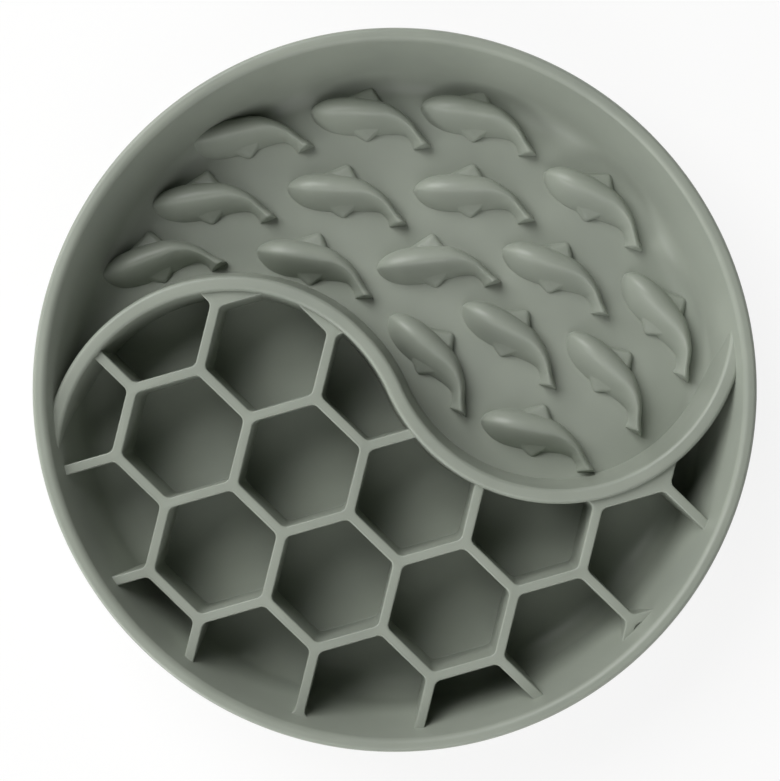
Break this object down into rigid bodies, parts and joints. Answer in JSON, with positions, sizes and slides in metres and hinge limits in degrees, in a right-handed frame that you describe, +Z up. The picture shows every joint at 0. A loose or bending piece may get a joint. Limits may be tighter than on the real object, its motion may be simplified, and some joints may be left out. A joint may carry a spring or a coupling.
{
  "type": "slow feeder bowl",
  "caption": "Round moulded silicone slow feeder bowl with a rounded rim, an S-shaped divider, a tray of raised fish nubs and a honeycomb of deep cells.",
  "frame": {"origin": "centre of the circle that the foot ring stands on", "axes": "+Z up out of the bowl, +X to the right and +Y away from the viewer in the pictured view from above"},
  "size_m": [0.2, 0.2, 0.038],
  "materials": {
    "silicone": "matt moulded sage green silicone"
  },
  "bodies": {
    "root": {"outer_wall": "silicone", "base_plate": "silicone", "foot_ring": "silicone", "fish_tray": "silicone", "s_divider": "silicone", "honeycomb_grid": "silicone", "fish_01": "silicone", "fish_02": "silicone", "fish_03": "silicone", "fish_04": "silicone", "fish_05": "silicone", "fish_06": "silicone", "fish_07": "silicone", "fish_08": "silicone", "fish_09": "silicone", "fish_10": "silicone", "fish_11": "silicone", "fish_12": "silicone", "fish_13": "silicone", "fish_14": "silicone", "fish_15": "silicone", "fish_16": "silicone"}
  },
  "joints": []
}
